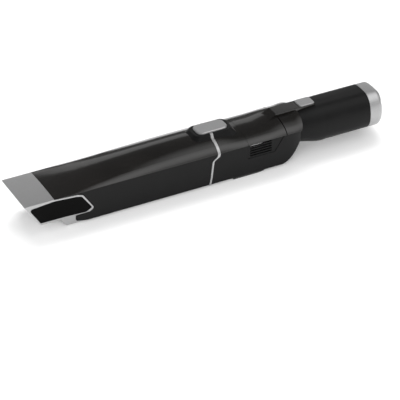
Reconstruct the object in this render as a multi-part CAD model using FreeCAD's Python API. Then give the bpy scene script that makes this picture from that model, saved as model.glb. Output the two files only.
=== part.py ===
"""Cordless stick-style handheld vacuum, millimetres.

+X points forward out of the nozzle, +Y to the left of the user, +Z up. The origin is under the
middle of the whole object, on the surface that it rests on. Each function below makes one piece,
and each piece is written to its own STEP file under the name of its node.
"""
import FreeCAD, Part
import math
import os
from FreeCAD import Vector

os.makedirs("parts", exist_ok=True)

# ---------------------------------------------------------------- driving dimensions
LENGTH = 424.0                      # nozzle lip to the back of the end cap
TIP_X = LENGTH / 2
TAIL_X = -LENGTH / 2
BODY_Z = 3.0                        # datum that the heights of the body are measured from
UNDER_Z = BODY_Z - 1.2              # underside of the body; its feet reach down to 0
BELT_Z = BODY_Z + 34.9              # belt line, where the domed covers meet the lower shells
HALF_W = 28.8                       # half width at the belt line
SIDE_W = 28.2                       # half width of the lower shells, just inside the belt line
CROWN = 12.1                        # height of the dome above the belt line, at the ring
MOTOR_CROWN = 8.8                   # the same over the motor
COLLAR_CROWN = 10.8                 # and at the collar
WALL = 2.2
SEAM = 0.3                          # gap at visible seams
FREE = 0.3                          # gap between pieces of different bodies
EDGE_R = 1.2                        # lower edges of the body
THIN_EDGE_R = 0.4                   # the same edges on the inside of the shells
COVER_Z = BELT_Z - 0.4              # lower rim of the domed covers
SHELL_Z = COVER_Z - SEAM            # upper rim of the lower shells

# stations along X
NOSE_X = 179.0                      # silver nozzle meets the glossy dome
FULL_X = 10.0                       # the dome has its full height from here to the ring
BIN_X = 133.0                       # front wall of the dust bin
RING_X = -8.0                       # trim ring on the dome, between cup and motor body
RING_W = 3.0
COVER_X = -42.4                     # seam between the two motor covers
COLLAR_X = -88.5                    # groove in front of the collar
COLLAR_END = -106.6                 # rear edge of the collar at the belt line
COLLAR_RAKE = 0.5                   # the edge leans back by this much for each mm upwards
DOME_END = COLLAR_END - 8.0         # the domed form is drawn to here, then trimmed to the rake
BELLY_X = -84.0                     # the underside starts to rise towards the handle
CAP_X = -194.5                      # seam between handle and end cap
CAP_ROUND = 7.0                     # rear edges of the end cap

# nozzle
MOUTH_BACK = 17.1                   # the mouth's lower lip is this far behind its upper lip
MOUTH_Z = BODY_Z + 9.4
NOSE_CROWN = 1.0
NOSE_WALL = 2.4
FOOT_W = 27.4                       # half width and edge radius of the foot under the nozzle
FOOT_R = 4.5

# handle
GRIP_Z = BODY_Z + 25.8
GRIP_W = 22.8
GRIP_H = 21.4
GRIP_X = -133.0                     # full section behind here
GRIP_WALL = 2.3
BOARD_Z = BODY_Z + 37.9             # underside of the control board

# motor
AXIS_Z = BODY_Z + 21.5
SHROUD_R = 18.8
CAN_R = 15.6
SHAFT_R = 1.5
BEARING_R = 4.0
SHAFT_FREE = 0.05

# buttons
RELEASE_FRONT = 5.4
RELEASE_BACK = -29.4
RELEASE_W = 9.2
RELEASE_TOP = BODY_Z + 51.7
RELEASE_LOW = BODY_Z + 48.9
RELEASE_TRAVEL = 1.6
POWER_X = -124.9
POWER_L = 18.0
POWER_W = 7.0
POWER_TOP = BODY_Z + 50.5

# battery
CELL_R = 9.1
CELL_L = 65.0
CELL_X = -133.5
CELL_Y = 9.3
CELL_Z = GRIP_Z - 7.6


# ---------------------------------------------------------------- helpers
def round_corner(before, corner, after, radius):
    """Start, middle and end of the arc that rounds a corner."""
    a = (before - corner).normalize()
    b = (after - corner).normalize()
    half = a.getAngle(b) / 2
    middle = (a + b).normalize()
    centre = corner + middle * (radius / math.sin(half))
    reach = radius / math.tan(half)
    return corner + a * reach, centre - middle * radius, corner + b * reach


def rounded_loop(points, radii):
    """Closed wire through the points, with a radius at each corner (0 keeps it sharp)."""
    count = len(points)
    corners = []
    for i, point in enumerate(points):
        if radii[i]:
            corners.append(round_corner(points[i - 1], point, points[(i + 1) % count], radii[i]))
        else:
            corners.append((point, None, point))
    edges = []
    for i, (start, middle, end) in enumerate(corners):
        if middle:
            edges.append(Part.Arc(start, middle, end).toShape())
        following = corners[(i + 1) % count][0]
        if following.distanceToPoint(end) > 1e-6:
            edges.append(Part.LineSegment(end, following).toShape())
    return Part.Wire(edges)


def side_prism(outline, radii, y0, y1):
    """Outline given as (x, z) corners, extruded from y0 to y1."""
    if not isinstance(radii, (list, tuple)):
        radii = [radii] * len(outline)
    wire = rounded_loop([Vector(x, y0, z) for x, z in outline], radii)
    return Part.Face(wire).extrude(Vector(0, y1 - y0, 0))


def plan_prism(outline, radii, z0, z1):
    """Outline given as (x, y) corners, extruded from z0 to z1."""
    if not isinstance(radii, (list, tuple)):
        radii = [radii] * len(outline)
    wire = rounded_loop([Vector(x, y, z0) for x, y in outline], radii)
    return Part.Face(wire).extrude(Vector(0, 0, z1 - z0))


def box(x0, x1, y0, y1, z0, z1):
    return Part.makeBox(abs(x1 - x0), y1 - y0, z1 - z0, Vector(min(x0, x1), y0, z0))


def rod(x0, x1, radius, y=0.0, z=AXIS_Z):
    """Round bar along X, from x0 to x1."""
    return Part.makeCylinder(radius, abs(x1 - x0), Vector(min(x0, x1), y, z), Vector(1, 0, 0))


def tube(x0, x1, outer, inner, y=0.0, z=AXIS_Z):
    return rod(x0, x1, outer, y, z).cut(rod(x0, x1, inner, y, z))


def post(x, y, z0, z1, radius):
    return Part.makeCylinder(radius, z1 - z0, Vector(x, y, z0), Vector(0, 0, 1))


def mirrored(shape):
    return shape.mirror(Vector(0, 0, 0), Vector(0, 1, 0))


def fused(shapes):
    return shapes[0].multiFuse(shapes[1:]).removeSplitter()


def bent_rod(points, bend, radius):
    """Round bar along straight runs joined by arcs."""
    edges = []
    start = points[0]
    for i in range(1, len(points) - 1):
        first, middle, last = round_corner(points[i - 1], points[i], points[i + 1], bend)
        edges.append(Part.LineSegment(start, first).toShape())
        edges.append(Part.Arc(first, middle, last).toShape())
        start = last
    edges.append(Part.LineSegment(start, points[-1]).toShape())
    path = Part.Wire(edges)
    circle = Part.Circle(points[0], (points[1] - points[0]).normalize(), radius).toShape()
    return path.makePipeShell([Part.Wire([circle])], True, True)


# ---------------------------------------------------------------- outer forms
def lower_section(x, half, bottom, radius, top):
    """Section of the lower body: upright sides and a flat underside with rounded edges."""
    corners = [Vector(x, -half, top), Vector(x, -half, bottom),
               Vector(x, half, bottom), Vector(x, half, top)]
    return rounded_loop(corners, [0, radius, radius, 0])


def lower_form(inset, top):
    """Lower body from behind the nozzle to the handle; its rear underside sweeps up."""
    # station, how far the side and the underside have moved in, edge radius
    rise = [(BELLY_X, 0.0, 0.0, EDGE_R), (-90.0, 0.1, 1.2, 2.5), (-96.0, 0.5, 4.4, 4.5),
            (-102.0, 1.6, 9.5, 7.0), (-107.5, 3.6, 15.0, 9.0)]
    sections = []
    for x, side, up, edge in rise:
        sections.append(lower_section(x, SIDE_W - inset - side, UNDER_Z + inset + up,
                                      max(edge - 0.6 * inset, THIN_EDGE_R), top))
    straight = Part.Face(sections[0]).extrude(Vector(NOSE_X - BELLY_X, 0, 0))
    return straight.fuse(Part.makeLoft(sections, True, False))


def dome_section(x, half, belt, crown, base):
    """Section of the domed top: short upright rims, tight shoulders and a wide crown arc."""
    knee_y = 0.80 * half
    knee_z = 0.508 * crown
    top = Vector(x, 0, belt + crown)
    knees = [Vector(x, side * knee_y, belt + knee_z) for side in (1, -1)]
    rims = [Vector(x, side * half, belt) for side in (1, -1)]
    lows = [Vector(x, side * half, base) for side in (1, -1)]
    drop = crown - knee_z
    slope = 2 * math.atan2(drop, knee_y)                 # tangent of the crown arc at the knee
    chord_slope = math.atan2(knee_z, half - knee_y)
    chord = math.hypot(knee_z, half - knee_y)
    bulge = chord / 2 * math.tan((chord_slope - slope) / 2)
    shoulders = []
    for side in (0, 1):
        sign = 1 - 2 * side
        middle = (knees[side] + rims[side]) * 0.5
        out = Vector(0, sign * math.sin(chord_slope), math.cos(chord_slope))
        shoulders.append(middle + out * bulge)
    edges = [Part.LineSegment(lows[0], rims[0]), Part.Arc(rims[0], shoulders[0], knees[0]),
             Part.Arc(knees[0], top, knees[1]), Part.Arc(knees[1], shoulders[1], rims[1]),
             Part.LineSegment(rims[1], lows[1]), Part.LineSegment(lows[1], lows[0])]
    return Part.Wire([edge.toShape() for edge in edges])


def crown_at(x):
    """Dome height along X: highest at the ring, lower over the motor, higher again at the collar."""
    if x > FULL_X:
        part = (NOSE_X - x) / (NOSE_X - FULL_X)
        return NOSE_CROWN + (CROWN - NOSE_CROWN) * math.sin(math.pi / 2 * part) ** 1.2
    keys = [(FULL_X, CROWN), (RING_X, CROWN), (COVER_X, MOTOR_CROWN), (-65.0, MOTOR_CROWN),
            (COLLAR_X, COLLAR_CROWN), (DOME_END, COLLAR_CROWN)]
    for (x0, crown0), (x1, crown1) in zip(keys, keys[1:]):
        if x >= x1:
            part = (x0 - x) / (x0 - x1)
            return crown0 + (crown1 - crown0) * part * part * (3 - 2 * part)
    return COLLAR_CROWN


def dome_at(x, inset, base):
    return dome_section(x, HALF_W - inset, BELT_Z - 0.6 * inset, crown_at(x) - 0.4 * inset, base)


def dome_form(inset, base):
    """The whole domed top, from the nozzle seam to behind the collar."""
    stations = [NOSE_X, 165, 145, 120, 95, 70, 45, 25, FULL_X, 1, RING_X, -17, -26, -35, COVER_X,
                -54, -65, -73, -81, COLLAR_X, -101, DOME_END]
    return Part.makeLoft([dome_at(x, inset, base) for x in stations], True, False)


def grip_section(x, half_w, half_h, centre):
    """Handle section: flat top and bottom, round shoulders, a little wider low down."""
    half = [(6.5, 21.2), (11.8, 20.2), (16.2, 17.2), (19.7, 12.2), (22.1, 4.5), (22.7, -3.5),
            (21.1, -11.5), (17.6, -17.0), (12.5, -20.2), (6.5, -21.3)]
    outline = [(0, GRIP_H)] + half + [(0, -GRIP_H)] + [(-y, z) for y, z in reversed(half)]
    points = [Vector(x, y * half_w / GRIP_W, centre + z * half_h / GRIP_H) for y, z in outline]
    curve = Part.BSplineCurve()
    curve.interpolate(Points=points, PeriodicFlag=True)
    return Part.Wire([curve.toShape()])


def grip_form(inset, x1):
    """Handle from inside the collar to x1; its front end is slimmer, with a finger relief below."""
    # station, how much slimmer and lower the section is, and how far its centre is lifted
    neck = [(-98.0, 2.4, 3.6, 1.35), (-107.0, 2.4, 3.6, 1.35), (-115.5, 1.6, 2.9, 1.3),
            (-123.5, 0.6, 1.5, 0.85), (GRIP_X, 0.0, 0.0, 0.0), (GRIP_X - 10, 0.0, 0.0, 0.0)]
    sections = []
    for x, side, upright, lift in neck:
        sections.append(grip_section(x, GRIP_W - side - inset, GRIP_H - upright - inset, GRIP_Z + lift))
    front = Part.makeLoft(sections, True, False)
    full = Part.Face(sections[-1])
    return front.fuse(full.extrude(Vector(x1 - GRIP_X + 10, 0, 0)))


# ---------------------------------------------------------------- boundaries between pieces
def nozzle_zone(gap):
    """Side view of the silver nozzle, spread by gap where it meets the glossy and dark shells."""
    lip = MOUTH_BACK / (BELT_Z - MOUTH_Z)                # slope of the mouth, X per Z
    high, low = BELT_Z + 10, -5.0
    lip_z = BELT_Z + 0.6 * NOSE_CROWN
    outline = [(TIP_X + lip * (high - lip_z), high), (NOSE_X - gap, high),
               (NOSE_X - gap, BELT_Z - 0.4 + gap), (153 - gap, BELT_Z - 2.2 + gap),
               (147.2 - gap, BELT_Z - 4.2 + gap), (135.2 - gap, BODY_Z + 12.6),
               (141.6 - gap, BODY_Z + 8.4 - gap), (155.6 - gap, BODY_Z + 7.9 - gap),
               (155.6 - gap, UNDER_Z + 3.0), (143.5 - gap, UNDER_Z + 0.2), (143.5 - gap, low),
               (TIP_X + lip * (low - lip_z), low)]
    return side_prism(outline, [0, 0, 0, 1, 3, 2.5, 3, 1.2, 1.5, 0, 0, 0], -40, 40)


def split_zone(x_front, x_low, lift=0.0):
    """Everything in front of the joint; x_front on the dome, x_low on the lower shell."""
    outline = [(260, 90), (x_front, 90), (x_front, BELT_Z - 3.9 + lift), (x_low, BELT_Z - 8.1 + lift),
               (x_low + 2.2, BODY_Z + 8.0), (x_low + 6.0, -10), (260, -10)]
    return side_prism(outline, [0, 0, 2.0, 4.0, 8.0, 0, 0], -40, 40)


DOME = dome_form(0, COVER_Z)
DOME_IN = dome_form(WALL, COVER_Z - 3)
LOWER = lower_form(0, SHELL_Z)
LOWER_IN = lower_form(WALL, SHELL_Z + 1)
INSIDE = LOWER_IN.common(box(-120, 190, -40, 40, 0, SHELL_Z)).fuse(
    DOME_IN.common(box(-120, 190, -40, 40, SHELL_Z, 80)))
GRIP = grip_form(0, CAP_X)
GRIP_IN = grip_form(GRIP_WALL, CAP_X - 1)
RING_FRONT = RING_X + RING_W / 2
RING_BACK = RING_X - RING_W / 2
LOW_RING_FRONT = -0.6
LOW_RING_BACK = -2.6


def plinth_form(grow):
    """Raised base around the release button, before the button's well is cut."""
    low = rounded_loop([Vector(x, y, BODY_Z + 41) for x, y in
                        [(18, -16 - grow), (18, 16 + grow), (-40, 16 + grow), (-40, -16 - grow)]], [9] * 4)
    top_z = RELEASE_TOP - 1.8 + grow
    high = rounded_loop([Vector(x, y, top_z) for x, y in
                         [(9.5, -11.2 - grow), (9.5, 11.2 + grow), (-33.4, 11.2 + grow),
                          (-33.4, -11.2 - grow)]], [7] * 4)
    return Part.makeLoft([low, high], True, True)


def release_well(gap):
    outline = [(RELEASE_FRONT + gap, -RELEASE_W - gap), (RELEASE_FRONT + gap, RELEASE_W + gap),
               (RELEASE_BACK - gap, RELEASE_W + gap), (RELEASE_BACK - gap, -RELEASE_W - gap)]
    return plan_prism(outline, 6.0 + gap, BODY_Z + 40, BODY_Z + 60)


def power_well(gap, z0, z1):
    x0 = POWER_X - POWER_L / 2 - gap
    x1 = POWER_X + POWER_L / 2 + gap
    y = POWER_W + gap
    return plan_prism([(x1, -y), (x1, y), (x0, y), (x0, -y)], 2.5 + gap, z0, z1)


# ---------------------------------------------------------------- dust cup
INSERT_OUTLINE = [(206.7, BELT_Z - 4.4), (194.6, MOUTH_Z + 1.7), (168, BODY_Z + 10.8),
                  (144.2, BODY_Z + 9.8), (137.3, BODY_Z + 13.4), (148.6, BELT_Z - 5.4),
                  (154.5, BELT_Z - 3.8), (179, BELT_Z - 1.9)]
INSERT_RADII = [2.4, 1.4, 20, 2.5, 1.8, 2.0, 6.0, 20]
INSERT_FLOOR = 27.2
INSERT_FACE = 28.45


def nozzle_shell():
    """Silver nozzle with a slanted mouth, a frame for each side insert and the front foot."""
    zone = nozzle_zone(0)
    side = Part.Face(lower_section(134, HALF_W, MOUTH_Z - 1, 1.5, COVER_Z + 0.2))
    hull = side.extrude(Vector(TIP_X + 2 - 134, 0, 0))
    top = Part.makeLoft([dome_section(x, HALF_W, BELT_Z, NOSE_CROWN * k, COVER_Z)
                         for x, k in ((NOSE_X, 1.0), (TIP_X + 6, 0.6))], True, True)
    inside = Part.Face(lower_section(130, HALF_W - NOSE_WALL, MOUTH_Z + 1, 1.0, BELT_Z - 1.4))
    inside = inside.extrude(Vector(TIP_X + 10 - 130, 0, 0))
    foot = [(172, MOUTH_Z + 0.5), (169.5, BODY_Z + 3.0), (165, 0.9), (161, 0), (151, 0),
            (143.5, UNDER_Z - 0.2), (143.5, MOUTH_Z + 0.5)]
    foot = side_prism(foot, [0, 4, 4, 4, 12, 0, 0], -30, 30)
    foot_section = Part.Face(lower_section(140, FOOT_W, 0, FOOT_R, MOUTH_Z + 0.2))
    foot = foot.common(foot_section.extrude(Vector(40, 0, 0)))
    shell = fused([hull, top, foot]).common(zone).cut(inside)
    for side in (1, -1):
        y0, y1 = sorted((side * INSERT_FLOOR, side * 40))
        shell = shell.cut(side_prism(INSERT_OUTLINE, INSERT_RADII, y0, y1))
    for x, y in NOZZLE_SCREWS:
        shell = shell.cut(post(x, y, -1, 3.2, 3.0)).cut(post(x, y, 3, MOUTH_Z + 2, 1.3))
    return shell


NOZZLE_SCREWS = [(157.0, 15.0), (157.0, -15.0)]


def screw(x, y, head_z, length, head_r=2.7, shank_r=1.25):
    """Pan-head screw driven upwards, with a cross recess."""
    head = post(x, y, head_z, head_z + 1.8, head_r)
    head = head.makeFillet(0.5, [edge for edge in head.Edges if edge.BoundBox.ZMax < head_z + 0.1])
    for turn in (0, 1):
        arm = box(x - 1.5, x + 1.5, y - 0.3, y + 0.3, head_z - 0.1, head_z + 0.9)
        head = head.cut(arm.rotate(Vector(x, y, 0), Vector(0, 0, 1), 90 * turn))
    return head.fuse(post(x, y, head_z + 1.8, head_z + length, shank_r))


def nozzle_screws():
    return Part.makeCompound([screw(x, y, 1.3, 9.0) for x, y in NOZZLE_SCREWS])


def side_insert():
    """Matte panel in the left side of the nozzle."""
    return side_prism(INSERT_OUTLINE, INSERT_RADII, INSERT_FLOOR, INSERT_FACE)


def cup_zone():
    return split_zone(RING_FRONT + FREE, LOW_RING_FRONT + FREE, 0.25)


def cup_window():
    """Glossy domed top of the dust cup."""
    shell = DOME.cut(DOME_IN).common(cup_zone())
    catch = box(-10, -0.5, -LATCH_W - FREE, LATCH_W + FREE, BODY_Z + 40, LATCH_TOP + FREE)
    return shell.cut(catch).cut(box(-10, 3, -40, 40, 0, BELT_Z - 1.4))


def cup_shell():
    """Matte lower half of the dust cup."""
    return LOWER.cut(LOWER_IN).common(cup_zone()).cut(nozzle_zone(SEAM))


def plinth_front():
    """Front half of the raised base around the release button; it leaves with the cup."""
    return plinth_form(0).cut(DOME).cut(DOME_IN).cut(release_well(FREE)).common(cup_zone())


DUCT_END = 129.0


def duct_section(x, half, low, high, radius):
    corners = [Vector(x, -half, high), Vector(x, -half, low), Vector(x, half, low), Vector(x, half, high)]
    return rounded_loop(corners, [radius] * 4)


def duct_solid(inset):
    """Inlet passage: a wide mouth that narrows to an even tube into the bin."""
    low, high = MOUTH_Z + 1.4 + inset, BELT_Z - 1.8 - inset
    mouth = [duct_section(216, 26.0 - inset, low, high, 3.0 - inset / 2),
             duct_section(196, 25.6 - inset, low + 0.3, high - 0.2, 3.0 - inset / 2),
             duct_section(170, 20.5 - inset, low + 2.6, high - 1.6, 5.5 - inset / 2),
             duct_section(160, 20.0 - inset, low + 3.0, high - 2.0, 6.0 - inset / 2)]
    even = Part.Face(duct_section(160, 20.0 - inset, low + 3.0, high - 2.0, 6.0 - inset / 2))
    return Part.makeLoft(mouth, True, True).fuse(even.extrude(Vector(DUCT_END - 160, 0, 0)))


def inlet_duct():
    """Funnel and tube from the mouth to the bin, with the bin's front wall around it."""
    slant = MOUTH_BACK / (BELT_Z - MOUTH_Z)
    lip = 3.0                                            # the funnel stops this far inside the mouth
    front = side_prism([(TIP_X - lip + slant * 20, BELT_Z + 20), (100, BELT_Z + 20), (100, -10),
                        (TIP_X - lip - slant * (BELT_Z + 10), -10)], 0, -40, 40)
    wall = box(BIN_X, BIN_X - 2, -40, 40, 0, 60).common(INSIDE)
    return fused([duct_solid(0).common(front), wall]).cut(duct_solid(1.6))


FLAP_X = DUCT_END - 1.6
FLAP_PIN_Z = BELT_Z - 2.0
FLAP_LOW = MOUTH_Z + 2.5


def flap_pin():
    """Steel pin across the top of the duct's rear end, held in two ears of its own clip."""
    pin = Part.makeCylinder(0.8, 34, Vector(FLAP_X, -17, FLAP_PIN_Z), Vector(0, 1, 0))
    ears = []
    for y in (-17.5, 15.5):
        ears.append(box(FLAP_X - 1.6, DUCT_END + 2.0, y, y + 2, FLAP_PIN_Z - 1.8, FLAP_PIN_Z + 1.8))
    return fused([pin] + ears)


def inlet_flap():
    """Rubber flap that hangs over the duct's rear end and keeps the dust in."""
    knuckle = Part.makeCylinder(1.8, 29, Vector(FLAP_X, -14.5, FLAP_PIN_Z), Vector(0, 1, 0))
    corners = [Vector(FLAP_X - 0.8, y, z) for y, z in
               [(-14.5, FLAP_PIN_Z), (-14.5, FLAP_PIN_Z - 3), (-19, FLAP_PIN_Z - 6.5), (-19, FLAP_LOW),
                (19, FLAP_LOW), (19, FLAP_PIN_Z - 6.5), (14.5, FLAP_PIN_Z - 3), (14.5, FLAP_PIN_Z)]]
    blade = Part.Face(rounded_loop(corners, [0, 1, 2, 5, 5, 2, 1, 0])).extrude(Vector(1.6, 0, 0))
    bore = Part.makeCylinder(0.8 + SHAFT_FREE, 40, Vector(FLAP_X, -20, FLAP_PIN_Z), Vector(0, 1, 0))
    return fused([knuckle, blade]).cut(bore)


# ---------------------------------------------------------------- filter
FILTER_FACE = -9.2
FILTER_NECK_R = 14.8
PORT_R = 15.2
MESH_R = 16.6
MESH_END = 44.0


def filter_frame():
    """Flange and neck that plug into the motor body, three ribs and an end cap."""
    flange = tube(FILTER_FACE + 1, FILTER_FACE + 3, MESH_R + 0.6, 11.5)
    neck = tube(FILTER_FACE - 5, FILTER_FACE + 1, FILTER_NECK_R, 13.2)
    cap = rod(38, 40, 15.6)
    knob = rod(40, 47, 4.0)
    parts = [flange, neck.fuse(tube(FILTER_FACE + 1, FILTER_FACE + 1.5, FILTER_NECK_R, 11.5)), cap, knob]
    for i in range(3):
        rib = box(FILTER_FACE + 2, 39, -0.8, 0.8, AXIS_Z + 10.4, AXIS_Z + 12.0)
        parts.append(rib.rotate(Vector(0, 0, AXIS_Z), Vector(1, 0, 0), 120 * i))
    return fused(parts)


def filter_pleats():
    """Pleated paper, a star-shaped sleeve around the ribs."""
    outer, inner, count = 15.4, 12.2, 36
    rings = []
    for shift in (0.0, -0.7):
        points = []
        for i in range(2 * count):
            radius = (outer if i % 2 else inner + 0.75) + shift
            angle = math.pi * i / count
            points.append(Vector(FILTER_FACE + 3, radius * math.cos(angle), AXIS_Z + radius * math.sin(angle)))
        rings.append(Part.Face(Part.makePolygon(points + points[:1])))
    return rings[0].cut(rings[1]).extrude(Vector(38 - FILTER_FACE - 3, 0, 0))


def prefilter_mesh():
    """Thin metal cage with long slots, around the pleats."""
    cage = tube(FILTER_FACE + 3, MESH_END, MESH_R, MESH_R - 0.6)
    cage = cage.fuse(tube(MESH_END, MESH_END + 0.6, MESH_R, 4.3))
    bar = 3.2
    slots = []
    for row in range(4):
        x0 = FILTER_FACE + 6 + row * 11.2
        for i in range(18):
            slot = box(x0, x0 + 9.2, -bar / 2, bar / 2, AXIS_Z + MESH_R - 3, AXIS_Z + MESH_R + 3)
            slots.append(slot.rotate(Vector(0, 0, AXIS_Z), Vector(1, 0, 0), 20 * i))
    return cage.cut(Part.makeCompound(slots))


def filter_seal():
    """Rubber ring between the filter's flange and the port."""
    return tube(FILTER_FACE, FILTER_FACE + 1, MESH_R + 0.4, FILTER_NECK_R + 0.2)


# ---------------------------------------------------------------- buttons
LATCH_W = 3.5
LATCH_TOP = BODY_Z + 45.6
ARM_LOW = BODY_Z + 40.7
ARM_TOP = BODY_Z + 42.1
STEMS = (-18.5, -25.5)
STEM_R = 1.8
SPRING_SEAT = BODY_Z + 33.0


def release_button():
    """Silver button with two guide stems."""
    outline = [(RELEASE_FRONT, -RELEASE_W), (RELEASE_FRONT, RELEASE_W),
               (RELEASE_BACK, RELEASE_W), (RELEASE_BACK, -RELEASE_W)]
    cap = plan_prism(outline, 6.0, RELEASE_LOW, RELEASE_TOP)
    rim = [edge for edge in cap.Edges if edge.BoundBox.ZMin > RELEASE_TOP - 0.1]
    cap = cap.makeFillet(1.2, rim)
    return fused([cap] + [post(x, 0, ARM_LOW - 0.8, RELEASE_LOW + 1, STEM_R) for x in STEMS])


def latch_arm():
    """Arm under the dome that carries the catch; the stems of the button pass through it."""
    arm = box(STEMS[1] - 3, -2, -LATCH_W, LATCH_W, ARM_LOW, ARM_TOP)
    tooth = side_prism([(-5.4, ARM_LOW + 1), (-5.4, LATCH_TOP), (-4.2, LATCH_TOP), (-2, ARM_TOP),
                        (-2, ARM_LOW + 1)], 0, -LATCH_W, LATCH_W)
    arm = fused([arm, tooth])
    for x in STEMS:
        arm = arm.cut(post(x, 0, 0, 60, STEM_R))
    return arm


def release_spring():
    """Coil spring between its seat and the latch arm."""
    wire, radius, turns = 0.4, 2.7, 5
    low = SPRING_SEAT + wire
    height = ARM_LOW - wire - low - 0.05
    helix = Part.makeHelix(height / turns, height, radius)
    circle = Part.Circle(Vector(radius, 0, 0), Vector(0, 1, 0), wire).toShape()
    coil = Part.Wire(helix.Edges).makePipeShell([Part.Wire([circle])], True, True)
    coil.translate(Vector(STEMS[0], 0, low))
    return coil


def power_button():
    """Silver switch button with a short stem over the switch."""
    cap = power_well(0, BODY_Z + 46.9, POWER_TOP)
    rim = [edge for edge in cap.Edges if edge.BoundBox.ZMin > POWER_TOP - 0.1]
    cap = cap.makeFillet(0.6, rim)
    return cap.fuse(post(POWER_X, 0, BODY_Z + 44.6, BODY_Z + 46.9, 1.8))


# ---------------------------------------------------------------- motor body covers
def slab(x0, x1):
    return box(x0, x1, -40, 40, -10, 80)


def trim_ring():
    """Silver band between the cup and the motor body, stepped forward below the belt line."""
    band = split_zone(RING_BACK, LOW_RING_BACK).cut(split_zone(RING_FRONT, LOW_RING_FRONT))
    proud = 0.35
    dome = Part.Face(dome_section(-30, HALF_W + proud, BELT_Z, CROWN + proud, BELT_Z - 2)).extrude(
        Vector(60, 0, 0))
    inside = Part.Face(dome_section(-30, HALF_W - WALL, BELT_Z, CROWN - WALL, BELT_Z - 3)).extrude(
        Vector(60, 0, 0))
    low = Part.Face(lower_section(-30, SIDE_W + proud, UNDER_Z - proud, EDGE_R, BELT_Z - 1))
    low = low.extrude(Vector(60, 0, 0))
    ring = fused([dome, low, plinth_form(0.15)]).cut(LOWER_IN).cut(inside).cut(DOME_IN)
    return ring.common(band).cut(release_well(FREE))


def plinth_rear():
    """Rear half of the raised base around the release button."""
    return plinth_form(0).cut(DOME).cut(DOME_IN).cut(release_well(FREE)).common(slab(-60, RING_BACK))


def top_cover_front():
    """Glossy cover behind the ring, with holes for the button's stems and a stirrup for the spring."""
    shell = DOME.cut(DOME_IN).common(slab(COVER_X + SEAM / 2, RING_BACK))
    x0, x1 = STEMS[0] - 4, STEMS[0] + 4
    stirrup = box(x0, x1, -6, 6, SPRING_SEAT - 1.4, 60).cut(box(x0, x1, -4.6, 4.6, SPRING_SEAT, 60))
    shell = fused([shell, stirrup.common(DOME_IN)])
    for x in STEMS:
        shell = shell.cut(post(x, 0, 30, 60, STEM_R + FREE))
    return shell


def top_cover_rear():
    """Glossy cover over the motor."""
    return DOME.cut(DOME_IN).common(slab(COLLAR_X + 0.5, COVER_X - SEAM / 2))


def raked_zone(x):
    """Everything in front of the collar's rear edge, which starts at x and leans back."""
    rise = 30.0
    return side_prism([(60, COVER_Z - 5), (x, COVER_Z - 5), (x, BELT_Z),
                       (x - COLLAR_RAKE * rise, BELT_Z + rise), (60, BELT_Z + rise)], 0, -40, 40)


def collar_cover():
    """Glossy collar that closes over the front of the handle."""
    front = slab(DOME_END, COLLAR_X - 0.5)
    shell = DOME.cut(DOME_IN).common(front).common(raked_zone(COLLAR_END))
    wall = DOME.common(raked_zone(COLLAR_END)).cut(raked_zone(COLLAR_END + 2))
    return fused([shell, wall]).cut(GRIP)


def motor_housing():
    """Matte lower housing with the belly, vent openings, motor ribs and screw bosses."""
    shell = LOWER.cut(LOWER_IN)
    wall = LOWER.common(slab(-104.5, -102.5))
    inner = LOWER_IN.common(box(-110, 0, -40, 40, 0, SHELL_Z))
    ribs = []
    for x0, x1, radius in ((-42, -38, MOUNT_FRONT_R), (-84, -80, MOUNT_REAR_R)):
        rib = box(x0, x1, -40, 40, 0, AXIS_Z).common(inner)
        ribs.append(rib.cut(rod(x0 - 1, x1 + 1, radius)))
    for x, y in HOUSING_SCREWS:
        ribs.append(post(x, y, UNDER_Z + 1, SHELL_Z - 2, 3.6).common(inner))
    body = fused([shell, wall] + ribs)
    body = body.common(slab(-120, 20)).cut(split_zone(RING_BACK, LOW_RING_BACK))
    for side in (1, -1):
        y0, y1 = sorted((side * 24, side * 40))
        body = body.cut(side_prism(vent_outline(SEAM / 2), vent_radii(), y0, y1))
    for x, y in HOUSING_SCREWS:
        body = body.cut(post(x, y, 0, UNDER_Z + 3.2, 3.0)).cut(post(x, y, UNDER_Z + 3, SHELL_Z - 8, 1.25))
    return body.cut(GRIP)


HOUSING_SCREWS = [(-20.0, 20.0), (-20.0, -20.0), (-74.0, 20.5), (-74.0, -20.5)]
MOUNT_FRONT_R = 19.8
MOUNT_REAR_R = 17.6


def housing_screws():
    return Part.makeCompound([screw(x, y, UNDER_Z + 1.2, 22.0) for x, y in HOUSING_SCREWS])


def vent_outline(gap):
    top, low = SHELL_Z + gap, BODY_Z + 17.9 - gap
    return [(COVER_X + 0.3 + gap, top), (COVER_X + 0.3 + gap, low), (-74.5 - gap, low),
            (-85.6 - gap * 1.4, top)]


def vent_radii():
    return [0, 1.2, 1.2, 0]


def vent_grille():
    """Left exhaust grille: a panel with five louvre slots."""
    panel = side_prism(vent_outline(-SEAM / 2), vent_radii(), SIDE_W - 2.2, SIDE_W - 0.5)
    for i in range(5):
        z = BODY_Z + 19.7 + i * 2.95
        slot = side_prism([(-45.0, z), (-45.0, z + 1.9), (-70.8, z + 1.9), (-70.8, z)], 0.6,
                          SIDE_W - 4, SIDE_W + 1)
        panel = panel.cut(slot)
    return panel


def base_pad():
    """Foot under the motor housing: a step at the front, tapering off at the rear."""
    outline = [(-24.8, BODY_Z), (-25.6, 0.4), (-27, 0), (-52, 0), (-62, UNDER_Z - 0.2), (-62, BODY_Z)]
    section = Part.Face(lower_section(-70, SIDE_W, 0, EDGE_R, UNDER_Z))
    pad = side_prism(outline, [0, 0, 1, 8, 0, 0], -40, 40).common(section.extrude(Vector(60, 0, 0)))
    for x, y in HOUSING_SCREWS:
        pad = pad.cut(post(x, y, -1, BODY_Z + 4, 3.2))
    return pad


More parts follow.
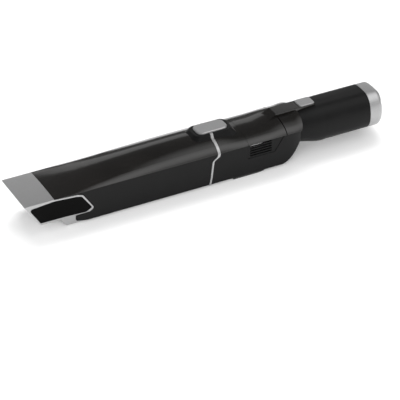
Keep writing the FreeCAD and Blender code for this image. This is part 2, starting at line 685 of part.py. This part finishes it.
def bulkhead():
    """Wall between bin and motor, with the filter port and a spigot that reaches into the cup."""
    plate = INSIDE.common(slab(-12, -10))
    outer_low = lower_form(WALL + 0.8, SHELL_Z)
    inner_low = lower_form(WALL + 2.6, SHELL_Z + 5)
    spigot = outer_low.cut(inner_low).common(box(-11, 10, -40, 40, 0, BELT_Z - 6))
    notch = box(-13, -8, -LATCH_W - 0.5, LATCH_W + 0.5, ARM_LOW - RELEASE_TRAVEL - 0.4, 60)
    return fused([plate, spigot]).cut(rod(-20, 0, PORT_R)).cut(notch)


def cup_gasket():
    """Rubber strip around the spigot."""
    strip = lower_form(WALL + 0.35, SHELL_Z).cut(lower_form(WALL + 0.8, SHELL_Z + 5))
    return strip.common(box(3.5, 5.5, -40, 40, 0, BELT_Z - 6))


def top_strip():
    """Raised glossy strip from the cover to the back of the power button."""
    high, front, back = BODY_Z + 49.4, -72.0, POWER_X - POWER_L / 2 - 1.2
    outline = [(front, -8.2), (front, 8.2), (back, 8.2), (back, -8.2)]
    body = plan_prism(outline, [2, 2, 3.5, 3.5], BODY_Z + 40, high)
    rim = [edge for edge in body.Edges if edge.BoundBox.ZMin > high - 0.1]
    body = body.makeFillet(0.9, rim)
    ramp = side_prism([(-60, high + 5), (-60, BODY_Z + 42.6), (-76, BODY_Z + 43.4), (-86.5, high + 0.05),
                       (-92, high + 5)], [0, 0, 6, 5, 0], -20, 20)
    return body.cut(ramp).cut(DOME).cut(DOME_IN).cut(GRIP).cut(GRIP_IN).cut(
        power_well(FREE, BODY_Z + 30, BODY_Z + 60))


def handle_shell():
    """Hollow handle with board rails and two bosses for the end cap's screws."""
    shell = GRIP.cut(GRIP_IN)
    inner = GRIP_IN.common(slab(-193.9, -99))
    rails = [box(-131, -110, 11.2, 24, BOARD_Z - 1.5, BOARD_Z),
             box(-131, -110, -24, -11.2, BOARD_Z - 1.5, BOARD_Z)]
    bosses = []
    for y, z in CAP_SCREWS:
        bosses.append(rod(-176, -193.9, 3.4, y, z))
        bosses.append(box(-176, -193.9, min(y, y * 1.3), max(y, y * 1.3), z - 1.2, z + 1.2))
    shell = fused([shell] + [piece.common(inner) for piece in rails + bosses])
    for y, z in CAP_SCREWS:
        shell = shell.cut(rod(-178, -200, 1.2, y, z))
    return shell.cut(power_well(FREE, BODY_Z + 30, BODY_Z + 60))


CAP_SCREWS = [(17.0, CELL_Z + 16.1), (-17.0, CELL_Z + 16.1)]
SOCKET_R = 4.6
JACK_R = 2.75
JACK_DEPTH = 9.0


def end_cap():
    """Silver cap with rounded rear edges, a socket hole and two screw holes."""
    face = Part.Face(grip_section(CAP_X - 0.4, GRIP_W, GRIP_H, GRIP_Z))
    cap = face.extrude(Vector(TAIL_X - CAP_X + 0.4, 0, 0))
    cap = cap.makeFillet(CAP_ROUND, [edge for edge in cap.Edges if edge.BoundBox.XMax < TAIL_X + 1])
    inner = Part.Face(grip_section(CAP_X + 1, GRIP_W - 2.4, GRIP_H - 2.4, GRIP_Z))
    cap = cap.cut(inner.extrude(Vector(TAIL_X + 6 - CAP_X - 1, 0, 0)))
    for y, z in CAP_SCREWS:
        cap = cap.fuse(rod(CAP_X - 0.4, TAIL_X + 3, 3.6, y, z))
    for y, z in CAP_SCREWS:
        cap = cap.cut(rod(TAIL_X - 1, TAIL_X + 10, 2.9, y, z)).cut(rod(TAIL_X, CAP_X, 1.5, y, z))
    return cap.cut(rod(TAIL_X - 1, TAIL_X + 12, SOCKET_R, 0, GRIP_Z))


def cap_screws():
    screws = []
    for y, z in CAP_SCREWS:
        head = rod(TAIL_X + 8.2, TAIL_X + 10, 2.6, y, z)
        cross = box(TAIL_X + 8, TAIL_X + 9, y - 1.5, y + 1.5, z - 0.3, z + 0.3)
        cross = cross.fuse(box(TAIL_X + 8, TAIL_X + 9, y - 0.3, y + 0.3, z - 1.5, z + 1.5))
        screws.append(head.cut(cross).fuse(rod(TAIL_X + 10, -180, 1.2, y, z)))
    return Part.makeCompound(screws)


def charge_socket():
    """Round power socket in the rear face, with its centre contact sunk at the bottom."""
    body = rod(TAIL_X, TAIL_X + 10.6, SOCKET_R, 0, GRIP_Z)
    return body.cut(rod(TAIL_X - 1, TAIL_X + JACK_DEPTH, JACK_R, 0, GRIP_Z))


# ---------------------------------------------------------------- motor
def impeller_shroud():
    """Cup around the impeller with the inlet eye in its front wall."""
    wall = tube(-34, -47, SHROUD_R, SHROUD_R - 1.4)
    front = tube(-33, -34.6, SHROUD_R, 9.0)
    return fused([wall, front])


def blade_face(x, r0, r1, sweep, thick, phase):
    """Curved blade section in the plane across the axis."""
    def at(radius, angle):
        return Vector(x, radius * math.cos(angle), AXIS_Z + radius * math.sin(angle))
    middle = (r0 + r1) / 2
    near = [at(r0, phase), at(middle, phase + 0.35 * sweep), at(r1, phase + sweep)]
    far = [at(r0, phase + thick / r0), at(middle, phase + 0.35 * sweep + thick / middle),
           at(r1, phase + sweep + thick / r1)]
    edges = [Part.Arc(*near), Part.LineSegment(near[2], far[2]), Part.Arc(far[2], far[1], far[0]),
             Part.LineSegment(far[0], near[0])]
    return Part.Face(Part.Wire([edge.toShape() for edge in edges]))


def impeller():
    """Backplate, hub and nine curved blades."""
    plate = rod(-42.4, -43.8, 16.6)
    hub = rod(-35.6, -44.6, 4.0)
    parts = [plate, hub]
    for i in range(9):
        face = blade_face(-42.4, 5.5, 16.4, -0.75, 0.9, 2 * math.pi * i / 9)
        parts.append(face.extrude(Vector(6.0, 0, 0)))
    return fused(parts).cut(rod(-30, -50, SHAFT_R))


def diffuser():
    """Plate and fixed vanes that turn the air back along the motor."""
    parts = [tube(-45.2, -47, SHROUD_R - 1.4, 6.0).cut(tube(-45, -48, SHROUD_R - 1.4, 15.8))]
    parts.append(tube(-47, -51, 15.6, 14.2))
    for i in range(10):
        vane = box(-45.2, -51, -0.5, 0.5, AXIS_Z + 15.0, AXIS_Z + SHROUD_R - 1.45)
        parts.append(vane.rotate(Vector(0, 0, AXIS_Z), Vector(1, 0, 0), 36 * i))
    return fused(parts)


def motor_can():
    """Steel can with its front plate and bearing seat."""
    can = tube(-51, -80, CAN_R, CAN_R - 1.0)
    front = tube(-51, -54, CAN_R, BEARING_R)
    for i in range(6):
        angle = math.pi * i / 3
        front = front.cut(rod(-50, -55, 2.2, 9.5 * math.cos(angle), AXIS_Z + 9.5 * math.sin(angle)))
    return fused([can, front])


def motor_endbell():
    """Rear plate of the motor with the second bearing seat."""
    bell = tube(-80, -83, CAN_R, BEARING_R)
    for i in range(4):
        angle = math.pi * (i + 0.5) / 2
        bell = bell.cut(rod(-79, -84, 2.4, 9.5 * math.cos(angle), AXIS_Z + 9.5 * math.sin(angle)))
    return bell


def stator_core():
    """Laminated ring with six teeth."""
    core = tube(-58, -76, CAN_R - 1.0, 12.2)
    for i in range(6):
        tooth = box(-58, -76, -2.0, 2.0, AXIS_Z + 9.1, AXIS_Z + 12.6)
        shoe = tube(-58, -76, 9.6, 8.6).common(box(-58, -76, -3.6, 3.6, AXIS_Z, AXIS_Z + 12))
        for piece in (tooth, shoe):
            core = core.fuse(piece.rotate(Vector(0, 0, AXIS_Z), Vector(1, 0, 0), 60 * i))
    return core.removeSplitter()


def stator_coils():
    """Copper winding around each tooth."""
    coils = []
    for i in range(6):
        coil = box(-56.6, -77.4, -3.1, 3.1, AXIS_Z + 9.7, AXIS_Z + 11.6)
        coil = coil.cut(box(-58, -76, -2.0, 2.0, AXIS_Z + 9, AXIS_Z + 13))
        coils.append(coil.rotate(Vector(0, 0, AXIS_Z), Vector(1, 0, 0), 60 * i))
    return Part.makeCompound(coils)


def rotor_shaft():
    return rod(-34.2, -85, SHAFT_R)


def rotor_core():
    """Magnet and laminations on the shaft."""
    return rod(-58.5, -75.5, 8.0).cut(rod(-50, -90, SHAFT_R))


def rotor_nut():
    """Nut that holds the impeller."""
    points = [Vector(-35.6, 3.0 * math.cos(math.pi * i / 3), AXIS_Z + 3.0 * math.sin(math.pi * i / 3))
              for i in range(6)]
    nut = Part.Face(Part.makePolygon(points + points[:1])).extrude(Vector(1.2, 0, 0))
    return nut.cut(rod(-30, -50, SHAFT_R))


def bearing(x0, x1):
    return tube(x0, x1, BEARING_R, SHAFT_R + SHAFT_FREE)


def mount_ring(x0, x1, inner, outer):
    """Rubber ring that isolates the motor."""
    return tube(x0, x1, outer, inner)


# ---------------------------------------------------------------- power
def cell_places():
    return [(CELL_Y, CELL_Z), (-CELL_Y, CELL_Z), (0.0, CELL_Z + 16.1)]


def battery_cell(y, z):
    """One round cell with softly rounded ends."""
    body = rod(CELL_X, CELL_X - CELL_L, CELL_R, y, z)
    return body.makeFillet(0.8, [edge for edge in body.Edges if edge.Curve.TypeId == "Part::GeomCircle"])


def battery_frame(x0, x1):
    """End frame that locates the three cells."""
    discs = [rod(x0, x1, CELL_R + 0.2, y, z) for y, z in cell_places()]
    corners = [Vector(x0, y, z) for y, z in cell_places()]
    web = Part.Face(Part.makePolygon(corners + corners[:1])).extrude(Vector(x1 - x0, 0, 0))
    frame = fused(discs + [web])
    for y, z in cell_places():
        frame = frame.cut(rod(x0, x1, 4.0, y, z))
    return frame


def control_board():
    """Circuit board with two capacitors and the charging chip."""
    z = BOARD_Z
    board = box(-110.5, -130.8, -12.6, 12.6, z, z + 1.6)
    parts = [board, post(-114.5, 7, z + 1.6, z + 4, 2.4), post(-114.5, -7, z + 1.6, z + 4, 2.4)]
    parts.append(box(-121, -116.5, -2.5, 2.5, z + 1.6, z + 2.6))
    return fused(parts)


def tact_switch():
    z = BOARD_Z + 1.6
    body = box(POWER_X - 3, POWER_X + 3, -3, 3, z, z + 2.6)
    return body.fuse(post(POWER_X, 0, z + 2.6, BODY_Z + 43.2, 1.7))


def motor_lead(side):
    """Insulated wire from the motor to the board."""
    points = [Vector(-83.2, side * 9.0, AXIS_Z + 4), Vector(-92, side * 9.0, AXIS_Z + 4),
              Vector(-101, side * 9.0, BOARD_Z - 2.4), Vector(-108, side * 9.0, BOARD_Z + 0.8),
              Vector(-110.3, side * 9.0, BOARD_Z + 0.8)]
    return bent_rod(points, 1.9, 0.9)


def motor_leads():
    return Part.makeCompound([motor_lead(1), motor_lead(-1)])


NODES = {
    "nozzle_shell": nozzle_shell, "side_insert_left": side_insert,
    "side_insert_right": lambda: mirrored(side_insert()), "nozzle_screws": nozzle_screws,
    "cup_window": cup_window, "cup_shell": cup_shell, "plinth_front": plinth_front,
    "inlet_duct": inlet_duct, "flap_pin": flap_pin, "inlet_flap": inlet_flap,
    "filter_frame": filter_frame, "filter_pleats": filter_pleats, "prefilter_mesh": prefilter_mesh,
    "filter_seal": filter_seal,
    "release_button": release_button, "latch_arm": latch_arm, "release_spring": release_spring,
    "power_button": power_button,
    "trim_ring": trim_ring, "plinth_rear": plinth_rear, "top_cover_front": top_cover_front,
    "top_cover_rear": top_cover_rear, "collar_cover": collar_cover, "top_strip": top_strip,
    "motor_housing": motor_housing, "housing_screws": housing_screws,
    "vent_grille_left": vent_grille, "vent_grille_right": lambda: mirrored(vent_grille()),
    "base_pad": base_pad, "bulkhead": bulkhead, "cup_gasket": cup_gasket,
    "handle_shell": handle_shell, "end_cap": end_cap, "cap_screws": cap_screws,
    "charge_socket": charge_socket,
    "impeller_shroud": impeller_shroud, "impeller": impeller, "diffuser": diffuser,
    "motor_can": motor_can, "motor_endbell": motor_endbell, "stator_core": stator_core,
    "stator_coils": stator_coils, "rotor_shaft": rotor_shaft, "rotor_core": rotor_core,
    "rotor_nut": rotor_nut,
    "bearing_front": lambda: bearing(-51, -54), "bearing_rear": lambda: bearing(-80, -83),
    "mount_ring_front": lambda: mount_ring(-36, -44, SHROUD_R, MOUNT_FRONT_R),
    "mount_ring_rear": lambda: mount_ring(-79, -85, CAN_R, MOUNT_REAR_R),
    "battery_frame_front": lambda: battery_frame(CELL_X + 0.3, CELL_X + 2),
    "battery_frame_rear": lambda: battery_frame(CELL_X - CELL_L - 2, CELL_X - CELL_L - 0.3),
    "control_board": control_board, "tact_switch": tact_switch, "motor_leads": motor_leads,
}
for number, (y, z) in enumerate(cell_places(), 1):
    NODES["battery_cell_%d" % number] = lambda y=y, z=z: battery_cell(y, z)

for name, make in NODES.items():
    make().exportStep("parts/%s.step" % name)
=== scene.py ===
"""A cordless handheld vacuum in a white studio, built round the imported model.

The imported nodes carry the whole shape. This script gives every node its finish, and sets
the floor, the lights and the camera. Lengths are in metres, angles in degrees.
"""

import math

import bpy
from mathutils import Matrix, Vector


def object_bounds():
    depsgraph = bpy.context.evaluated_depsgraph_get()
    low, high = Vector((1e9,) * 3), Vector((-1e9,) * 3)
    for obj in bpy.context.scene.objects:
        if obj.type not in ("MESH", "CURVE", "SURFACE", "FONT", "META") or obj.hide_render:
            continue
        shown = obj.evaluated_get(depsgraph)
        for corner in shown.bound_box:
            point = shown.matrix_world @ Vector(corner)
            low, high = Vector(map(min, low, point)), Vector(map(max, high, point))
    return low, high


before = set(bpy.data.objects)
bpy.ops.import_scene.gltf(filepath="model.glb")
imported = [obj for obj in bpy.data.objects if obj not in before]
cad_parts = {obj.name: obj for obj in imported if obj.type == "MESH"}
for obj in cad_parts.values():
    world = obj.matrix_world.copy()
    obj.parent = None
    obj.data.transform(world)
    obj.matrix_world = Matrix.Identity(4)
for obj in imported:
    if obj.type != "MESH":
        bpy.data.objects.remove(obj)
cad_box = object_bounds()

MM = 0.001
MIDDLE = Vector((2 * MM, 0.0, 1.0 * MM))    # what the lights and the camera are set round

PHOTO_AZIMUTH = 27.46           # the camera's direction from the object, from +Y to +X
PHOTO_ELEVATION = 32.79
CAMERA_DISTANCE = 2.3105
SENSOR_WIDTH = 36.0             # in millimetres, like the lens
LENS = 198.0
AIM_BELOW = 0.02857             # the object sits above the middle of the picture
AIM_RIGHT = 0.00220

FLOOR_HALF = 6.0
FLOOR_GAP = 0.1 * MM            # the floor lies this far under the object

WORLD_STRENGTH = 0.76
BRIGHT_TOWARDS = (-0.45, 0.45, 0.77)    # the side that polished surfaces see bright
BRIGHT_START = 0.72             # cosine of the angle from that side where it starts
DIM, BRIGHT = 0.23, 2.6         # what they see away from that side, and at its middle

# name, (width, height), watts, azimuth from +Y to +X, elevation, distance, seen in reflections
LIGHTS = [
    ("fill_camera_side", (2.4, 0.8), 38.0, 27.0, 25.0, 2.0, False),
    ("key_behind", (2.0, 0.8), 26.0, 200.0, 55.0, 2.0, False),
    ("rim_behind", (2.6, 0.6), 3.4, 207.0, 24.0, 2.2, True),
]


# ---------------------------------------------------------------- materials

def node_tree(name):
    """A new material with its shader: (material, nodes, links, shader)."""
    made = bpy.data.materials.new(name)
    made.use_nodes = True
    nodes, links = made.node_tree.nodes, made.node_tree.links
    return made, nodes, links, nodes["Principled BSDF"]


def noise(nodes, links, scale, detail=2.0, stretch=(1.0, 1.0, 1.0)):
    """Noise over the object's own coordinates. Scale is in cells per metre."""
    place = nodes.new("ShaderNodeTexCoord")
    mapping = nodes.new("ShaderNodeMapping")
    mapping.inputs["Scale"].default_value = stretch
    texture = nodes.new("ShaderNodeTexNoise")
    texture.inputs["Scale"].default_value = scale
    texture.inputs["Detail"].default_value = detail
    links.new(place.outputs["Object"], mapping.inputs["Vector"])
    links.new(mapping.outputs["Vector"], texture.inputs["Vector"])
    return texture.outputs["Fac"]


def spread(nodes, links, source, low, high, start=0.3, end=0.7):
    """Maps the middle of a noise to values from low to high."""
    ranged = nodes.new("ShaderNodeMapRange")
    ranged.inputs["From Min"].default_value = start
    ranged.inputs["From Max"].default_value = end
    ranged.inputs["To Min"].default_value = low
    ranged.inputs["To Max"].default_value = high
    links.new(source, ranged.inputs["Value"])
    return ranged.outputs["Result"]


def tint(nodes, links, source, dark, light, start=0.3, end=0.7):
    """Maps the middle of a noise to colours from dark to light."""
    ramp = nodes.new("ShaderNodeValToRGB")
    ramp.color_ramp.elements[0].position = start
    ramp.color_ramp.elements[1].position = end
    ramp.color_ramp.elements[0].color = (*dark, 1.0)
    ramp.color_ramp.elements[1].color = (*light, 1.0)
    links.new(source, ramp.inputs["Fac"])
    return ramp.outputs["Color"]


def relief(nodes, links, source, depth, strength=1.0, under=None):
    """A bump of that depth in metres, over another bump if one is given."""
    bump = nodes.new("ShaderNodeBump")
    bump.inputs["Strength"].default_value = strength
    bump.inputs["Distance"].default_value = depth
    links.new(source, bump.inputs["Height"])
    if under is not None:
        links.new(under, bump.inputs["Normal"])
    return bump.outputs["Normal"]


def moulded(name, dark, light, rough, grain=1800, depth=0.00002, wave=60, soft=0.0, shine=0.4):
    """Moulded plastic: a fine spark-eroded grain over a slow change of shade and gloss."""
    made, nodes, links, shader = node_tree(name)
    slow = noise(nodes, links, wave, 3.0)
    fine = noise(nodes, links, grain, 2.0)
    links.new(tint(nodes, links, slow, dark, light), shader.inputs["Base Color"])
    links.new(spread(nodes, links, slow, *rough), shader.inputs["Roughness"])
    links.new(relief(nodes, links, fine, depth), shader.inputs["Normal"])
    shader.inputs["Specular IOR Level"].default_value = shine
    if soft:
        shader.inputs["Sheen Weight"].default_value = soft
        shader.inputs["Sheen Roughness"].default_value = 0.5
    return made


def glossy(name, dark, light, rough):
    """Polished plastic with a faint moulded waviness, and hairline wear in its gloss."""
    made, nodes, links, shader = node_tree(name)
    slow = noise(nodes, links, 25, 2.0)
    wave = noise(nodes, links, 90, 1.0)
    hair = noise(nodes, links, 900, 2.0, (0.08, 1.0, 1.0))
    links.new(tint(nodes, links, slow, dark, light), shader.inputs["Base Color"])
    links.new(spread(nodes, links, hair, *rough), shader.inputs["Roughness"])
    links.new(relief(nodes, links, wave, 0.00002, 0.5), shader.inputs["Normal"])
    shader.inputs["IOR"].default_value = 1.5
    shader.inputs["Coat Weight"].default_value = 0.1
    shader.inputs["Coat Roughness"].default_value = 0.05
    return made


def painted_silver(name, dark, light, rough):
    """Sprayed metallic paint: tiny flakes of different brightness under a satin coat."""
    made, nodes, links, shader = node_tree(name)
    flake = noise(nodes, links, 5200, 1.0)
    cloud = noise(nodes, links, 45, 3.0)
    peel = noise(nodes, links, 700, 1.0)
    links.new(tint(nodes, links, flake, dark, light), shader.inputs["Base Color"])
    links.new(spread(nodes, links, cloud, *rough), shader.inputs["Roughness"])
    under = relief(nodes, links, flake, 0.000006)
    links.new(relief(nodes, links, peel, 0.00001, 0.6, under), shader.inputs["Normal"])
    shader.inputs["Metallic"].default_value = 0.75
    shader.inputs["Coat Weight"].default_value = 0.15
    shader.inputs["Coat Roughness"].default_value = 0.25
    return made


def bare_metal(name, dark, light, rough, stretch=(1.0, 1.0, 1.0)):
    """Bare metal with fine lines along the axis that stretch makes slow."""
    made, nodes, links, shader = node_tree(name)
    lines = noise(nodes, links, 1500, 3.0, stretch)
    links.new(tint(nodes, links, lines, dark, light), shader.inputs["Base Color"])
    links.new(spread(nodes, links, lines, *rough), shader.inputs["Roughness"])
    links.new(relief(nodes, links, lines, 0.00001, 0.6), shader.inputs["Normal"])
    shader.inputs["Metallic"].default_value = 1.0
    return made


def pleated_paper(name, dark, light):
    """Filter paper: pressed fibres, dull and slightly uneven in colour."""
    made, nodes, links, shader = node_tree(name)
    fibre = noise(nodes, links, 2600, 5.0, (1.0, 1.0, 0.25))
    links.new(tint(nodes, links, fibre, dark, light), shader.inputs["Base Color"])
    links.new(spread(nodes, links, fibre, 0.85, 0.95), shader.inputs["Roughness"])
    links.new(relief(nodes, links, fibre, 0.00006), shader.inputs["Normal"])
    shader.inputs["Sheen Weight"].default_value = 0.2
    return made


def finishes():
    """Every material slot of the record, as a procedural material."""
    return {
        "silver_paint": painted_silver("silver_paint_flake", (0.34,) * 3, (0.43, 0.43, 0.435),
                                       (0.34, 0.42)),
        "gloss_black": glossy("gloss_black_polished", (0.0032, 0.0028, 0.0024),
                              (0.006, 0.0052, 0.0046), (0.10, 0.17)),
        "matte_black": moulded("matte_black_grain", (0.0028,) * 3, (0.0040, 0.0040, 0.0041),
                               (0.40, 0.48), soft=0.03, shine=0.15),
        "insert_black": moulded("insert_black_fine", (0.0018,) * 3, (0.0025,) * 3,
                                (0.42, 0.50), 2600, 0.00001, shine=0.04),
        "inner_plastic": moulded("inner_plastic_grey", (0.045,) * 3, (0.065, 0.065, 0.07),
                                 (0.40, 0.55)),
        "impeller_plastic": moulded("impeller_plastic_white", (0.62, 0.62, 0.60),
                                    (0.76, 0.76, 0.74), (0.30, 0.42)),
        "soft_rubber": moulded("soft_rubber_dull", (0.014,) * 3, (0.024,) * 3, (0.78, 0.9),
                               1200, 0.00003, soft=0.15),
        "filter_paper": pleated_paper("filter_paper_fibre", (0.66, 0.64, 0.58),
                                      (0.84, 0.83, 0.79)),
        "steel": bare_metal("steel_turned", (0.50,) * 3, (0.64, 0.64, 0.65), (0.22, 0.38),
                            (0.1, 1.0, 1.0)),
        "copper": bare_metal("copper_wound", (0.58, 0.27, 0.13), (0.82, 0.42, 0.22),
                             (0.25, 0.4), (0.15, 1.0, 1.0)),
        "cell_wrap": moulded("cell_wrap_film", (0.05, 0.17, 0.28), (0.09, 0.26, 0.40),
                             (0.25, 0.35), 900, 0.00002),
        "board_green": moulded("board_green_mask", (0.012, 0.10, 0.035), (0.03, 0.19, 0.07),
                               (0.25, 0.4), 1200, 0.00002, 300),
        "part_black": moulded("part_black_epoxy", (0.015,) * 3, (0.03,) * 3, (0.4, 0.55)),
        "lead_red": moulded("lead_red_insulation", (0.32, 0.012, 0.012), (0.50, 0.03, 0.025),
                            (0.35, 0.45)),
    }


def dress_nodes(finish):
    """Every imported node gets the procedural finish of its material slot."""
    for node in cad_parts.values():
        for number, material in enumerate(node.data.materials):
            node.data.materials[number] = finish[material.name.split(".")[0]]


dress_nodes(finishes())


# ------------------------------------------------------------ studio and camera

def floor_material():
    """Matt white studio floor with a barely uneven tone."""
    made, nodes, links, shader = node_tree("studio_floor_white")
    cloud = noise(nodes, links, 2.5, 2.0)
    links.new(tint(nodes, links, cloud, (0.90,) * 3, (0.92,) * 3), shader.inputs["Base Color"])
    shader.inputs["Roughness"].default_value = 0.9
    shader.inputs["Specular IOR Level"].default_value = 0.0
    return made


def studio_floor(height):
    """A white plane under the object."""
    mesh = bpy.data.meshes.new("studio_floor")
    half = FLOOR_HALF
    corners = [(-half, -half), (half, -half), (half, half), (-half, half)]
    mesh.from_pydata([(x, y, height) for x, y in corners], [], [(0, 1, 2, 3)])
    mesh.materials.append(floor_material())
    floor = bpy.data.objects.new("studio_floor", mesh)
    bpy.context.scene.collection.objects.link(floor)


def outward(azimuth, elevation):
    """Unit vector in that direction; azimuth is from +Y towards +X."""
    a, e = math.radians(azimuth), math.radians(elevation)
    return Vector((math.sin(a) * math.cos(e), math.cos(a) * math.cos(e), math.sin(e)))


def softbox(name, size, power, azimuth, elevation, distance, in_reflections):
    """A rectangular area light that looks at the middle of the object."""
    light = bpy.data.lights.new(name, "AREA")
    light.shape = "RECTANGLE"
    light.size, light.size_y = size
    light.energy = power
    lamp = bpy.data.objects.new(name, light)
    out = outward(azimuth, elevation)
    lamp.location = MIDDLE + out * distance
    lamp.rotation_euler = (-out).to_track_quat("-Z", "Y").to_euler()
    lamp.visible_glossy = in_reflections
    bpy.context.scene.collection.objects.link(lamp)


def white_world():
    """Even white surroundings; polished surfaces see them dim, with one bright side."""
    world = bpy.data.worlds.new("studio_world")
    world.use_nodes = True
    nodes, links = world.node_tree.nodes, world.node_tree.links
    background = nodes["Background"]
    place = nodes.new("ShaderNodeTexCoord")
    towards = nodes.new("ShaderNodeVectorMath")
    towards.operation = "DOT_PRODUCT"
    towards.inputs[1].default_value = Vector(BRIGHT_TOWARDS).normalized()
    links.new(place.outputs["Generated"], towards.inputs[0])
    shade = tint(nodes, links, towards.outputs["Value"], (DIM,) * 3, (BRIGHT,) * 3, BRIGHT_START, 1.0)
    path = nodes.new("ShaderNodeLightPath")
    mixed = nodes.new("ShaderNodeMix")
    mixed.data_type = "RGBA"
    links.new(path.outputs["Is Glossy Ray"], mixed.inputs["Factor"])
    mixed.inputs["A"].default_value = (1, 1, 1, 1)
    links.new(shade, mixed.inputs["B"])
    links.new(mixed.outputs["Result"], background.inputs["Color"])
    background.inputs["Strength"].default_value = WORLD_STRENGTH
    bpy.context.scene.world = world


def photo_camera():
    """The camera at the photograph's angle, aimed a little below the object."""
    back = outward(PHOTO_AZIMUTH, PHOTO_ELEVATION)
    a = math.radians(PHOTO_AZIMUTH)
    right = Vector((-math.cos(a), math.sin(a), 0.0))
    up = back.cross(right)
    data = bpy.data.cameras.new("photo_camera")
    data.lens = LENS
    data.sensor_width = SENSOR_WIDTH
    camera = bpy.data.objects.new("photo_camera", data)
    camera.location = MIDDLE + back * CAMERA_DISTANCE
    aim = MIDDLE + right * AIM_RIGHT - up * AIM_BELOW
    camera.rotation_euler = (aim - camera.location).to_track_quat("-Z", "Y").to_euler()
    bpy.context.scene.collection.objects.link(camera)
    bpy.context.scene.camera = camera


studio_floor(cad_box[0].z - FLOOR_GAP)
white_world()
for light in LIGHTS:
    softbox(*light)
photo_camera()
bpy.context.scene.view_settings.view_transform = "Standard"
